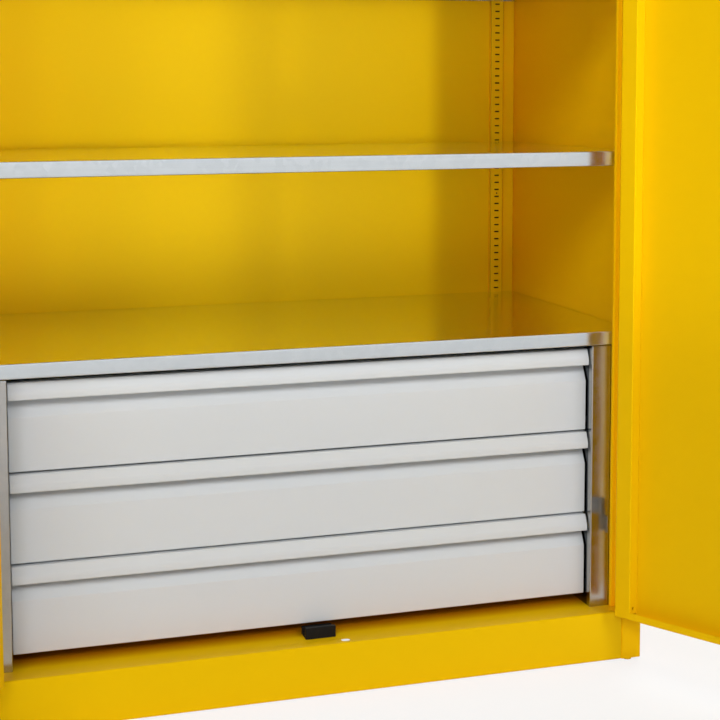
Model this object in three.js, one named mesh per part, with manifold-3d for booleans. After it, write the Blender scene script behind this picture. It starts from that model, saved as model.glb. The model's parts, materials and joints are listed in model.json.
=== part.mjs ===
// Heavy-duty drawer cabinet: a steel cupboard with two wing doors, shelves and a block of three drawers.
// Millimetres, +Z up, the front faces -Y and the cabinet stands on z = 0.
// Every piece is drawn with the doors shut and the carcass's front plane at y = 0. The doors are then turned
// open, and the whole cabinet is moved so that the origin is under the middle of its bounding box.

import * as THREE from 'three';
import { mergeVertices } from 'three/addons/utils/BufferGeometryUtils.js';
import Module from 'manifold-3d';

const wasm = await Module();
wasm.setup();

// Whole cabinet
const width = 1200;
const depth = 600;
const height = 1950;
const floorTop = 91.5;
const glideHeight = 3;
const halfWidth = width / 2;

// Sheets and their folds; a fold's radius is that of the middle of the sheet, and wide folds get more steps
const carcassSheet = 1.5;
const carcassFold = 2.2;
const innerSheet = 1.2;
const innerFold = 1.5;
const foldSteps = 3;
const foldStepLength = 1.5;

// Clearances: between pieces that rest on each other, that are cut around each other, around the folds of the
// side posts, and between pieces that turn together. Plates joined into one piece differ by a small inset.
const seat = 0.05;
const clearance = 0.3;
const postClearance = 0.6;
const turnedSeat = 0.3;
const joinInset = 0.15;
const overcut = 5;
const weldTolerance = 1e-4;
const roundSteps = 24;

// Side walls, each folded into a post along its front edge
const frontFlange = 38.5;
const stopDepth = 29;
const stopFlange = 9;
const stopHem = 6;
const rearFlange = 28;
const wallInner = halfWidth - carcassSheet;
const postInner = halfWidth - frontFlange;
const openingHalf = postInner - stopFlange;
const postRear = stopDepth + stopHem;

// Back panel, roof and the bottom pan with the plinth front
const backRecess = 23;
const fasciaHeight = 41.5;
const fasciaLip = 8;
const roofRearFlange = 25;
const plinthReturn = 18;
const panRearFlange = 26;
const backFace = depth - backRecess;
const fasciaBottom = height - fasciaHeight;
const roofUnderside = height - carcassSheet;

// Holes in the bottom pan and the roof's return
const rodHoleLength = 16;
const rodHoleWidth = 12;
const postHoleRadius = 2.5;
const postHoleInset = 56;
const postHoleDepth = 8.5;

// Slotted strips that carry the shelves
const stripWidth = 28.5;
const stripInset = 45;
const stripProud = 10;
const stripTopGap = 45;
const frontStripFace = 46;
const frontStripReturn = 8;
const frontStripWeld = 28;
const slotPitch = 15.1;
const slotWidth = 10;
const slotHeight = 2.8;
const firstSlot = 33.6;
const pegHoleRadius = 1.6;
const pegHoleHeight = 720;
const stripBottom = floorTop + seat;
const stripTop = height - stripTopGap;
const lowestSlot = floorTop + firstSlot;
const slotCount = 1 + Math.floor((stripTop - slotHeight - lowestSlot) / slotPitch);
const stripCentre = halfWidth - stripInset;
const stripFace = backFace - stripProud;
const frontStripOuter = wallInner - seat;
const frontStripInner = frontStripOuter - innerSheet - stripWidth;
const frontStripCentre = frontStripOuter - innerSheet - stripWidth / 2;

// Shelves: the lowest one covers the drawers
const coverTop = 598.7;
const shelfSpacing = 323.2;
const looseShelfCount = 3;
const shelfFront = 32.5;
const shelfFold = 26.6;
const coverFold = 24.9;
const shelfReturn = 12;
const shelfEndGap = 1.5;
const shelfHalf = wallInner - shelfEndGap;
const shelfRear = backFace - clearance;
const coverUnderside = coverTop - coverFold;

// Bearers that hang in the strips under each loose shelf
const bearerWidth = 25;
const bearerDrop = 19;
const bearerWallGap = 2.2;
const bearerEar = 18;
const tabWidth = 8;
const tabHeight = 1.8;
const tabReach = 2.6;
const tabMargin = 4;

// Galvanised cheeks beside the drawers
const cheekInset = 84.4;
const cheekFront = 36.5;
const cheekRearGap = 5;
const cheekFaceWidth = 41.4;
const cheekReturn = 12;
const cheekRearFlange = 20;
const cheekFaceGap = 1.8;
const cheekInner = halfWidth - cheekInset;
const cheekRear = backFace - cheekRearGap;

// Drawers; heights count up from the bottom of a drawer's front
const drawerCount = 3;
const drawerPitch = 152.3;
const lowestDrawer = 111.3;
const frontSideGap = 2.4;
const flatDepth = 57;
const flatHeight = 89.7;
const recessDepth = 71.5;
const slantTop = 119;
const gripDepth = 45.3;
const gripBottom = 120.3;
const gripBend = 131.4;
const gripLeanDegrees = 22;
const frontHeight = 149.2;
const gripLip = 5.5;
const frontTurnUp = 22;
const gripRadius = 2.5;
const gripBendRadius = 18;
const gripRearRadius = 5;
const slantRadius = 3;
const boxInset = 12;
const boxRearGap = 37;
const boxBottom = 2;
const boxTop = 130;
const frontHalf = cheekInner - frontSideGap;
const frontRear = recessDepth + innerSheet;
const boxHalf = frontHalf - boxInset;
const boxRear = backFace - boxRearGap;

// Runners: a channel on the cheek, and the ledge of the drawer box that slides in it
const runnerHeight = 14;
const runnerBottom = 1;
const runnerBoxGap = 2.5;
const runnerFront = 75;
const runnerRearGap = 17;
const ledgeCheekGap = 4.3;
const ledgeTurnUp = 8;
const runnerInner = boxHalf + runnerBoxGap;
const runnerRear = backFace - runnerRearGap;
const ledgeOuter = cheekInner - ledgeCheekGap;

// Doors, measured shut
const doorAngleDegrees = 121.7;
const doorSheet = 1.2;
const doorFold = 1.4;
const doorDepth = 27;
const doorSideGap = 3.5;
const doorEndGap = 3;
const doorMiddleGap = 1.5;
const doorLip = 30;
const doorEndLip = 12.5;
const doorReturnGap = 0.6;
const doorHoleRadius = 2.7;
const doorHoleDepth = 15;
const doorHoleRise = 18;
const doorReturnRise = 7;
const hingeEdge = postInner - doorSideGap;
const doorBottom = floorTop + doorEndGap;
const doorTop = fasciaBottom - doorEndGap;

// Lift-off hinges
const pivotInset = 1.3;
const pivotY = -6;
const hingeInset = 155.5;
const hingeHeights = [doorBottom + hingeInset, (doorBottom + doorTop) / 2, doorTop - hingeInset];
const barrelRadius = 5.5;
const barrelLength = 30;
const pinRadius = 3;
const pinBoreRadius = 3.25;
const pinLength = 27;
const leafThickness = 2;
const leafDepth = 26;
const pivotX = postInner - pivotInset;

// Strip on the left door that reaches behind the right one
const meetingStripOverlap = 12;
const meetingStripWidth = 38;
const meetingStripEndGap = 26;

// Lock of the right door: a cam with two studs drives a rod up and a rod down
const lockHeight = 1020;
const rodX = 43.8;
const rodY = 15.2;
const rodRadius = 4;
const rodHoleRadius = 6;
const rodEndInset = 0.5;
const studReach = 16;
const studRadius = 3;
const studEnd = 17.5;
const yokeWidth = 20;
const yokeHeight = 16;
const yokeThickness = 3;
const yokeSlotHalfLength = 6.2;
const yokeSlotHalfHeight = 3.8;
const camHalfWidth = 9;
const camFront = 7.5;
const camRear = 10.5;
const spindleRadius = 5;
const spindleHoleRadius = 8;
const plateHalfWidth = 24;
const plateHalfHeight = 60;
const plateThickness = 5;
const plateCorner = 12;
const plateHoleRadius = 6;
const hubRadius = 17;
const hubHeight = 16;
const wingHalfLength = 48;
const wingHalfWidth = 9;
const wingBase = 4;
const hubProud = 1;
const cylinderRadius = 9;
const cylinderDepth = 8;
const keyWidth = 2;
const keyHeight = 9;
const keyDepth = 4;
const restTurnDegrees = -45;
const restTurn = THREE.MathUtils.degToRad(restTurnDegrees);
const lockX = rodX + (studReach * (1 + Math.cos(restTurn))) / 2;
const upperRodX = 2 * lockX - rodX;

// Moulded stop for the doors on the bottom plate
const stopCentre = 4.5;
const stopWidth = 54;
const stopFront = 32;
const stopLength = 30;
const stopHeight = 20;
const stopWall = 7;
const stopRearHeight = 14;
const stopBase = 5;

// Glides: a disc on the floor with a plug inside the corner post
const glideRadius = 8;
const plugRadius = 6.3;
const plugHeight = 15;
const frontGlideInset = 23;
const rearGlideInset = 15;
const glideDepth = 8.5;
const frontGlide = { x: halfWidth - frontGlideInset, y: glideDepth };
const rearGlide = { x: halfWidth - rearGlideInset, y: depth - glideDepth };

// Shapes

// Outline of a bent sheet from the path of its middle; one radius per inner corner.
function foldedOutline(corners, sheet, radii) {
  const path = corners.map(([u, v]) => new THREE.Vector2(u, v));
  const leftSide = [];
  const rightSide = [];
  const half = sheet / 2;
  const leftOf = (way) => new THREE.Vector2(-way.y, way.x);
  const wayTo = (from, to) => to.clone().sub(from).normalize();
  const place = (centre, out, leftReach, rightReach) => {
    leftSide.push(centre.clone().addScaledVector(out, leftReach));
    rightSide.push(centre.clone().addScaledVector(out, rightReach));
  };
  path.forEach((corner, index) => {
    if (index === 0) {
      place(corner, leftOf(wayTo(corner, path[1])), half, -half);
      return;
    }
    const before = wayTo(path[index - 1], corner);
    if (index === path.length - 1) {
      place(corner, leftOf(before), half, -half);
      return;
    }
    const after = wayTo(corner, path[index + 1]);
    const turn = Math.atan2(before.cross(after), before.dot(after));
    const side = Math.sign(turn);
    const radius = radii[index - 1];
    const start = corner.clone().addScaledVector(before, -radius * Math.tan(Math.abs(turn) / 2));
    const centre = start.clone().addScaledVector(leftOf(before), side * radius);
    const steps = Math.max(foldSteps, Math.round((Math.abs(turn) * radius) / foldStepLength));
    for (let step = 0; step <= steps; step += 1) {
      const out = leftOf(before).multiplyScalar(-side);
      out.rotateAround(new THREE.Vector2(), (turn * step) / steps);
      place(centre, out, radius - side * half, radius + side * half);
    }
  });
  return new THREE.Shape([...leftSide, ...rightSide.reverse()]);
}

// The same radius at every fold of a path.
function evenRadii(corners, radius) {
  return corners.slice(2).map(() => radius);
}

// Runs an outline along an axis. Its own two axes are X, Y for a run along Z; Y, Z along X; X, Z along Y.
function run(outline, axis, from, to) {
  const options = { depth: to - from, bevelEnabled: false, curveSegments: roundSteps / 2 };
  const geometry = new THREE.ExtrudeGeometry(outline, options);
  const [x, y, z] = [new THREE.Vector3(1, 0, 0), new THREE.Vector3(0, 1, 0), new THREE.Vector3(0, 0, 1)];
  geometry.translate(0, 0, axis === 'y' ? -to : from);
  if (axis === 'x') {
    geometry.applyMatrix4(new THREE.Matrix4().makeBasis(y, z, x));
  }
  if (axis === 'y') {
    geometry.applyMatrix4(new THREE.Matrix4().makeBasis(x, z, y.negate()));
  }
  return geometry;
}

function bentSheet(corners, sheet, radius, axis, from, to) {
  return run(foldedOutline(corners, sheet, evenRadii(corners, radius)), axis, from, to);
}

// A box between two values on each axis; its corners take those values exactly, so that joined faces agree.
function block(acrossX, acrossY, acrossZ) {
  const geometry = new THREE.BoxGeometry();
  const corners = geometry.attributes.position;
  const pick = (value, [low, high]) => (value < 0 ? low : high);
  for (let index = 0; index < corners.count; index += 1) {
    corners.setXYZ(
      index,
      pick(corners.getX(index), acrossX),
      pick(corners.getY(index), acrossY),
      pick(corners.getZ(index), acrossZ),
    );
  }
  return geometry;
}

function barUp(radius, x, y, from, to) {
  const geometry = new THREE.CylinderGeometry(radius, radius, to - from, roundSteps);
  geometry.rotateX(Math.PI / 2);
  geometry.translate(x, y, (from + to) / 2);
  return geometry;
}

function barBack(radius, x, z, from, to) {
  const geometry = new THREE.CylinderGeometry(radius, radius, to - from, roundSteps);
  geometry.translate(x, (from + to) / 2, z);
  return geometry;
}

function barAcross(radius, y, z, from, to) {
  const geometry = new THREE.CylinderGeometry(radius, radius, to - from, roundSteps);
  geometry.rotateZ(Math.PI / 2);
  geometry.translate((from + to) / 2, y, z);
  return geometry;
}

// A rectangle with rounded corners; a radius of half its width makes an oblong.
function roundedOutline(halfLength, halfHeight, radius) {
  const outline = new THREE.Shape();
  const corners = [[1, -1, -1], [1, 1, 0], [-1, 1, 1], [-1, -1, 2]];
  corners.forEach(([sideX, sideY, quarter]) => {
    const start = (quarter * Math.PI) / 2;
    const x = sideX * (halfLength - radius);
    const y = sideY * (halfHeight - radius);
    outline.absarc(x, y, radius, start, start + Math.PI / 2, false);
  });
  return outline;
}

function oblongUp(halfLength, halfWidthOfHole, x, y, from, to) {
  const geometry = run(roundedOutline(halfLength, halfWidthOfHole, halfWidthOfHole), 'z', from, to);
  geometry.translate(x, y, 0);
  return geometry;
}

// Joining and cutting

function toSolid(geometry) {
  const bare = geometry.clone();
  bare.deleteAttribute('normal');
  bare.deleteAttribute('uv');
  const welded = mergeVertices(bare, weldTolerance);
  const mesh = new wasm.Mesh({
    numProp: 3,
    vertProperties: new Float32Array(welded.attributes.position.array),
    triVerts: new Uint32Array(welded.index.array),
  });
  return new wasm.Manifold(mesh);
}

function toGeometry(solid) {
  const mesh = solid.getMesh();
  const geometry = new THREE.BufferGeometry();
  geometry.setAttribute('position', new THREE.BufferAttribute(mesh.vertProperties, 3));
  geometry.setIndex(new THREE.BufferAttribute(mesh.triVerts, 1));
  geometry.computeVertexNormals();
  return geometry;
}

function joined(pieces) {
  return toGeometry(pieces.map(toSolid).reduce((whole, piece) => whole.add(piece)));
}

function cut(piece, tools) {
  return toGeometry(tools.map(toSolid).reduce((whole, tool) => whole.subtract(tool), toSolid(piece)));
}

function mirrored(geometry) {
  const copy = geometry.index ? geometry.clone() : mergeVertices(geometry);
  copy.applyMatrix4(new THREE.Matrix4().makeScale(-1, 1, 1));
  const order = copy.index.array;
  for (let corner = 0; corner < order.length; corner += 3) {
    [order[corner], order[corner + 1]] = [order[corner + 1], order[corner]];
  }
  copy.computeVertexNormals();
  return copy;
}

function withMirror(tools) {
  return [...tools, ...tools.map(mirrored)];
}

// A range made shorter by some join insets at both ends
function inset([low, high], times = 1) {
  return [low + times * joinInset, high - times * joinInset];
}

// Space of the two side posts, taken out of the sheets between them
function postNotches(from, to) {
  const post = postInner - postClearance;
  const opening = openingHalf - postClearance;
  const front = stopDepth - postClearance;
  const rear = postRear + postClearance;
  const outer = halfWidth + overcut;
  const corners = [
    [post, -overcut],
    [outer, -overcut],
    [outer, rear],
    [opening, rear],
    [opening, front],
    [post, front],
  ];
  const outline = new THREE.Shape(corners.map(([x, y]) => new THREE.Vector2(x, y)));
  return withMirror([run(outline, 'z', from, to)]);
}

// Carcass

function sideWall() {
  const half = carcassSheet / 2;
  const corners = [
    [halfWidth - rearFlange, depth - half],
    [halfWidth - half, depth - half],
    [halfWidth - half, half],
    [postInner + half, half],
    [postInner + half, stopDepth + half],
    [openingHalf + half, stopDepth + half],
    [openingHalf + half, postRear],
  ];
  return bentSheet(corners, carcassSheet, carcassFold, 'z', glideHeight, roofUnderside - seat);
}

function backPanel() {
  const half = innerSheet / 2;
  const side = wallInner - clearance - half;
  const rear = depth - carcassSheet - carcassFold;
  const corners = [[side, rear], [side, backFace + half], [-side, backFace + half], [-side, rear]];
  return bentSheet(corners, innerSheet, innerFold, 'z', glideHeight, roofUnderside - clearance);
}

function roof() {
  const half = carcassSheet / 2;
  const corners = [
    [stopDepth + half, fasciaBottom - fasciaLip],
    [stopDepth + half, fasciaBottom + half],
    [half, fasciaBottom + half],
    [half, height - half],
    [depth - half, height - half],
    [depth - half, height - roofRearFlange],
  ];
  const sheet = bentSheet(corners, carcassSheet, carcassFold, 'x', -halfWidth, halfWidth);
  const flangeSpace = block(
    [halfWidth - rearFlange - clearance, halfWidth + overcut],
    [depth / 2, depth + overcut],
    [height - roofRearFlange - overcut, roofUnderside],
  );
  return cut(sheet, [
    ...postNotches(fasciaBottom - fasciaLip - overcut, roofUnderside),
    ...withMirror([flangeSpace]),
    rodHole(upperRodX, fasciaBottom),
  ]);
}

// Hole for a lock rod, through the sheet at this height
function rodHole(x, z) {
  const range = [z - overcut, z + overcut];
  return oblongUp(rodHoleLength / 2, rodHoleWidth / 2, x, rodY, ...range);
}

function bottomPan() {
  const half = carcassSheet / 2;
  const rear = backFace - clearance - half;
  const corners = [
    [plinthReturn, glideHeight + half],
    [half, glideHeight + half],
    [half, floorTop - half],
    [rear, floorTop - half],
    [rear, floorTop - panRearFlange],
  ];
  const reach = wallInner - clearance;
  const sheet = bentSheet(corners, carcassSheet, carcassFold, 'x', -reach, reach);
  const postHole = barUp(
    postHoleRadius, halfWidth - postHoleInset, postHoleDepth, floorTop - overcut, floorTop + overcut,
  );
  return cut(sheet, [
    ...postNotches(0, floorTop + overcut),
    ...withMirror([postHole]),
    rodHole(rodX, floorTop),
  ]);
}

function glide({ x, y }) {
  const top = glideHeight - seat;
  const profile = [
    [0, 0],
    [glideRadius, 0],
    [glideRadius, top],
    [plugRadius, top],
    [plugRadius, plugHeight],
    [0, plugHeight],
  ];
  const geometry = new THREE.LatheGeometry(profile.map(([r, z]) => new THREE.Vector2(r, z)), roundSteps);
  geometry.rotateX(Math.PI / 2);
  geometry.translate(x, y, 0);
  return geometry;
}

function doorStop() {
  const outline = new THREE.Shape([
    new THREE.Vector2(stopFront, floorTop + seat),
    new THREE.Vector2(stopFront + stopLength, floorTop + seat),
    new THREE.Vector2(stopFront + stopLength, floorTop + stopRearHeight),
    new THREE.Vector2(stopFront + stopLength - stopWall, floorTop + stopRearHeight),
    new THREE.Vector2(stopFront + stopLength - stopWall, floorTop + stopBase),
    new THREE.Vector2(stopFront + stopWall, floorTop + stopBase),
    new THREE.Vector2(stopFront + stopWall, floorTop + stopHeight),
    new THREE.Vector2(stopFront, floorTop + stopHeight),
  ]);
  return run(outline, 'x', stopCentre - stopWidth / 2, stopCentre + stopWidth / 2);
}

// Slotted strips

function slotHeightAt(index) {
  return lowestSlot + index * slotPitch;
}

function slots(centre, face) {
  const across = [centre - slotWidth / 2, centre + slotWidth / 2];
  return Array.from({ length: slotCount }, (_, index) => {
    const middle = slotHeightAt(index);
    return block(across, [face - overcut, face + overcut], [middle - slotHeight / 2, middle + slotHeight / 2]);
  });
}

function rearStrip() {
  const half = innerSheet / 2;
  const side = stripWidth / 2 - half;
  const foot = backFace - seat;
  const corners = [
    [stripCentre - side, foot],
    [stripCentre - side, stripFace + half],
    [stripCentre + side, stripFace + half],
    [stripCentre + side, foot],
  ];
  const sheet = bentSheet(corners, innerSheet, innerFold, 'z', stripBottom, stripTop);
  const pegHole = barBack(
    pegHoleRadius, stripCentre, floorTop + pegHoleHeight, stripFace - overcut, stripFace + overcut,
  );
  return cut(sheet, [...slots(stripCentre, stripFace), pegHole]);
}

function frontStrip() {
  const half = innerSheet / 2;
  const outer = frontStripOuter - half;
  const corners = [
    [outer, frontStripFace + frontStripWeld],
    [outer, frontStripFace - half],
    [frontStripInner + half, frontStripFace - half],
    [frontStripInner + half, frontStripFace - frontStripReturn],
  ];
  const sheet = bentSheet(corners, innerSheet, innerFold, 'z', stripBottom, stripTop);
  return cut(sheet, slots(frontStripCentre, frontStripFace));
}

// Shelves and their bearers

function shelf(top, fold) {
  const half = innerSheet / 2;
  const low = top - fold + half;
  const corners = [
    [shelfFront + shelfReturn, low],
    [shelfFront + half, low],
    [shelfFront + half, top - half],
    [shelfRear - half, top - half],
    [shelfRear - half, low],
    [shelfRear - shelfReturn, low],
  ];
  const sheet = bentSheet(corners, innerSheet, innerFold, 'x', -shelfHalf, shelfHalf);
  const heightRange = [top - fold - overcut, top + overcut];
  const frontStripSpace = block(
    [frontStripInner - clearance, halfWidth], [0, frontStripFace + clearance], heightRange,
  );
  const halfStrip = stripWidth / 2 + clearance;
  const rearStripSpace = block(
    [stripCentre - halfStrip, stripCentre + halfStrip], [stripFace - clearance, depth], heightRange,
  );
  return cut(sheet, [...postNotches(...heightRange), ...withMirror([frontStripSpace, rearStripSpace])]);
}

function bearer(shelfTop) {
  const half = carcassSheet / 2;
  const top = shelfTop - innerSheet - seat;
  const outer = wallInner - bearerWallGap;
  const inner = outer - bearerWidth;
  const front = frontStripFace + seat;
  const rear = stripFace - seat;
  const drop = inset([top - bearerDrop, top]);
  const slotIndex = Math.floor((top - tabMargin - lowestSlot) / slotPitch);
  const tabMiddle = slotHeightAt(slotIndex);
  const tabRange = [tabMiddle - tabHeight / 2, tabMiddle + tabHeight / 2];
  const aroundMiddle = (middle, size) => [middle - size / 2, middle + size / 2];
  const angle = bentSheet(
    [[inner, top - half], [outer - half, top - half], [outer - half, top - bearerDrop]],
    carcassSheet, carcassFold, 'y', front + joinInset, rear - joinInset,
  );
  const earOuter = outer - joinInset;
  return joined([
    angle,
    block([inner + joinInset, earOuter], [front, front + carcassSheet], drop),
    block([stripCentre - bearerEar / 2, earOuter], [rear - carcassSheet, rear], drop),
    block(aroundMiddle(frontStripCentre, tabWidth), [front - tabReach, front + half], tabRange),
    block(aroundMiddle(stripCentre, tabWidth), [rear - half, rear + tabReach], tabRange),
  ]);
}

// Drawer block

function cheek() {
  const half = innerSheet / 2;
  const outer = cheekInner + cheekFaceWidth - half;
  const corners = [
    [outer, cheekFront + cheekReturn],
    [outer, cheekFront + half],
    [cheekInner + half, cheekFront + half],
    [cheekInner + half, cheekRear - half],
    [cheekInner + cheekRearFlange, cheekRear - half],
  ];
  const top = coverUnderside - seat;
  const sheet = bentSheet(corners, innerSheet, innerFold, 'z', floorTop + seat, top);
  const gapUnderCover = block(
    [cheekInner - overcut, outer + half + overcut],
    [cheekFront - overcut, cheekFront + cheekReturn + overcut],
    [top - cheekFaceGap, top + overcut],
  );
  return cut(sheet, [gapUnderCover]);
}

function runner(drawerBottom) {
  const half = carcassSheet / 2;
  const bottom = drawerBottom + runnerBottom;
  const web = cheekInner - seat - half;
  const corners = [
    [runnerInner, bottom + runnerHeight - half],
    [web, bottom + runnerHeight - half],
    [web, bottom + half],
    [runnerInner, bottom + half],
  ];
  return bentSheet(corners, carcassSheet, carcassFold, 'y', runnerFront, runnerRear);
}

function drawerFront(bottom) {
  const half = innerSheet / 2;
  const flat = flatDepth + half;
  const recess = recessDepth + half;
  const grip = gripDepth + half;
  const top = bottom + frontHeight - half;
  const lean = THREE.MathUtils.degToRad(gripLeanDegrees);
  const gripTop = grip + (top - bottom - gripBend) * Math.tan(lean);
  const corners = [
    [recess, bottom + frontTurnUp],
    [recess, bottom + half],
    [flat, bottom + half],
    [flat, bottom + flatHeight],
    [recess, bottom + slantTop],
    [recess, top],
    [gripTop, top],
    [grip, bottom + gripBend],
    [grip, bottom + gripBottom + half],
    [grip + gripLip, bottom + gripBottom + half],
  ];
  const gripRadii = [gripRearRadius, gripRadius, gripBendRadius, innerFold];
  const radii = [innerFold, innerFold, slantRadius, slantRadius, ...gripRadii];
  return run(foldedOutline(corners, innerSheet, radii), 'x', -frontHalf, frontHalf);
}

function drawerBox(bottom) {
  const front = frontRear + seat;
  const low = bottom + boxBottom;
  const high = bottom + boxTop;
  const ledge = bottom + runnerBottom + carcassSheet + seat;
  const ledgeRun = [runnerFront, boxRear - innerSheet / 2];
  const inside = boxHalf - innerSheet;
  const tray = cut(block([-boxHalf, boxHalf], [front, boxRear], [low, high]), [
    block([-inside, inside], [front + innerSheet, boxRear - innerSheet], [low + innerSheet, high + overcut]),
  ]);
  const half = innerSheet / 2;
  const corners = [
    [boxHalf - half, ledge + half],
    [ledgeOuter - half, ledge + half],
    [ledgeOuter - half, ledge + ledgeTurnUp],
  ];
  const rail = bentSheet(corners, innerSheet, innerFold, 'y', ...ledgeRun);
  return joined([tray, ...withMirror([rail])]);
}

// Doors, drawn as the right one

function doorLeaf(lockHoles) {
  const half = doorSheet / 2;
  const inner = doorDepth - half;
  const lipEdge = hingeEdge - doorLip;
  const middleLipEdge = doorMiddleGap + doorLip;
  const returnEdge = doorSheet + doorReturnGap;
  const corners = [
    [lipEdge + half, returnEdge],
    [lipEdge + half, inner],
    [hingeEdge - half, inner],
    [hingeEdge - half, half],
    [doorMiddleGap + half, half],
    [doorMiddleGap + half, inner],
    [middleLipEdge - half, inner],
    [middleLipEdge - half, returnEdge],
  ];
  const folded = bentSheet(corners, doorSheet, doorFold, 'z', doorBottom + half, doorTop - half);
  const wallDepth = [returnEdge - overcut / 2, inner - doorFold];
  const wallEnds = [
    [doorBottom - overcut, doorBottom + doorReturnRise],
    [doorTop - doorReturnRise, doorTop + overcut],
  ];
  const wallSpans = [
    [lipEdge - joinInset, lipEdge + doorSheet + joinInset],
    [middleLipEdge - doorSheet - joinInset, middleLipEdge + joinInset],
  ];
  const notches = wallEnds.flatMap((rise) => wallSpans.map((span) => block(span, wallDepth, rise)));
  const skin = cut(folded, notches);
  const across = inset([doorMiddleGap, hingeEdge], 2);
  const through = inset([0, doorDepth], 2);
  const lip = inset([doorDepth - doorSheet, doorDepth]);
  const ends = [
    block(across, through, [doorBottom, doorBottom + doorSheet]),
    block(across, through, [doorTop - doorSheet, doorTop]),
    block(inset(across), lip, [doorBottom + half / 2, doorBottom + doorEndLip]),
    block(inset(across), lip, [doorTop - doorEndLip, doorTop - half / 2]),
  ];
  const wallRange = [lipEdge - overcut, lipEdge + overcut];
  const wallHoles = [doorBottom + doorHoleRise, doorTop - doorHoleRise].map(
    (z) => barAcross(doorHoleRadius, doorHoleDepth, z, ...wallRange),
  );
  return cut(joined([skin, ...ends]), [...wallHoles, ...lockHoles]);
}

function lockHolesInDoor() {
  return [
    barBack(spindleHoleRadius, lockX, lockHeight, -overcut, overcut / 2),
    barUp(rodHoleRadius, rodX, rodY, doorBottom - overcut, doorBottom + overcut),
    barUp(rodHoleRadius, upperRodX, rodY, doorTop - overcut, doorTop + overcut),
  ];
}

function frameHinge(middle) {
  const range = [middle - barrelLength, middle];
  const leaf = [postInner - seat - leafThickness, postInner - seat];
  return joined([
    barUp(barrelRadius, pivotX, pivotY, ...range),
    barUp(pinRadius, pivotX, pivotY, middle - barrelLength / 2, middle + pinLength),
    block(leaf, [pivotY, pivotY + leafDepth], inset(range)),
  ]);
}

function doorHinge(middle) {
  const range = [middle + clearance, middle + barrelLength];
  const leaf = [hingeEdge + turnedSeat, hingeEdge + turnedSeat + leafThickness];
  const body = joined([
    barUp(barrelRadius, pivotX, pivotY, ...range),
    block(leaf, [pivotY, pivotY + leafDepth], inset(range)),
  ]);
  const bore = barUp(pinBoreRadius, pivotX, pivotY, middle - overcut, middle + pinLength + clearance);
  return cut(body, [bore]);
}

function meetingStrip() {
  const across = [-meetingStripOverlap, meetingStripWidth - meetingStripOverlap];
  const upright = [doorBottom + meetingStripEndGap, doorTop - meetingStripEndGap];
  return block(across, [doorDepth + turnedSeat, doorDepth + turnedSeat + carcassSheet], upright);
}

// Lock of the right door, drawn unlocked

const studDrop = -studReach * Math.sin(restTurn);
const plateFront = -turnedSeat - plateThickness;
const hubBack = plateFront - turnedSeat;

function lockPlate() {
  const outline = roundedOutline(plateHalfWidth, plateHalfHeight, plateCorner);
  const plate = run(outline, 'y', plateFront, -turnedSeat);
  plate.translate(lockX, 0, lockHeight);
  return cut(plate, [barBack(plateHoleRadius, lockX, lockHeight, plateFront - overcut, 0)]);
}

function lockHandle() {
  const wing = run(
    roundedOutline(wingHalfLength, wingHalfWidth, wingHalfWidth),
    'y',
    hubBack - hubHeight + hubProud,
    hubBack - wingBase,
  );
  wing.translate(lockX, 0, lockHeight);
  const hub = barBack(hubRadius, lockX, lockHeight, hubBack - hubHeight, hubBack);
  const bottom = hubBack - hubHeight + cylinderDepth + turnedSeat;
  const socket = barBack(cylinderRadius + turnedSeat, lockX, lockHeight, hubBack - hubHeight - overcut, bottom);
  return cut(joined([wing, hub]), [socket]);
}

function lockCylinder() {
  const face = hubBack - hubHeight;
  const barrel = barBack(cylinderRadius, lockX, lockHeight, face, face + cylinderDepth);
  const keyway = block(
    [lockX - keyWidth / 2, lockX + keyWidth / 2],
    [face - overcut, face + keyDepth],
    [lockHeight - keyHeight / 2, lockHeight + keyHeight / 2],
  );
  return cut(barrel, [keyway]);
}

function lockCam() {
  const plate = run(roundedOutline(studReach + camHalfWidth, camHalfWidth, camHalfWidth), 'y', camFront, camRear);
  plate.rotateY(-restTurn);
  plate.translate(lockX, 0, lockHeight);
  const stud = (side) => barBack(
    studRadius,
    lockX + side * studReach * Math.cos(restTurn),
    lockHeight + side * studReach * Math.sin(restTurn),
    (camFront + camRear) / 2,
    studEnd,
  );
  const spindle = barBack(spindleRadius, lockX, lockHeight, hubBack + turnedSeat, (camFront + camRear) / 2);
  return joined([plate, spindle, stud(1), stud(-1)]);
}

// A rod with the slotted yoke that a cam stud moves; side is 1 for the upper rod.
function lockRod(side, x, end) {
  const yokeMiddle = lockHeight - side * studDrop;
  const layer = [rodY - yokeThickness / 2, rodY + yokeThickness / 2];
  const yoke = block(
    [x - yokeWidth / 2, x + yokeWidth / 2], layer, [yokeMiddle - yokeHeight / 2, yokeMiddle + yokeHeight / 2],
  );
  const slot = block(
    [x - yokeSlotHalfLength, x + yokeSlotHalfLength],
    [rodY - overcut, rodY + overcut],
    [yokeMiddle - yokeSlotHalfHeight, yokeMiddle + yokeSlotHalfHeight],
  );
  const start = yokeMiddle + (side * (yokeHeight / 2 + yokeSlotHalfHeight)) / 2;
  const rod = barUp(rodRadius, x, rodY, Math.min(start, end), Math.max(start, end));
  return joined([cut(yoke, [slot]), rod]);
}

// Materials, one function each

function paint(hex, roughness) {
  return () => new THREE.MeshStandardMaterial({ color: hex, roughness, metalness: 0 });
}

function metal(hex, roughness) {
  return () => new THREE.MeshStandardMaterial({ color: hex, roughness, metalness: 1 });
}

const yellowPaint = paint('#e3b40a', 0.42);
const greyPaint = paint('#d6d6d2', 0.45);
const blackPlastic = paint('#1c1a19', 0.5);
const galvanised = metal('#b9bcbd', 0.28);
const zincSteel = metal('#a7a9ab', 0.35);
const chrome = metal('#c9cbcd', 0.12);

// Assembly

const cabinet = new THREE.Group();

function add(name, geometry, material) {
  const mesh = new THREE.Mesh(geometry, material());
  mesh.name = name;
  cabinet.add(mesh);
}

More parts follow.
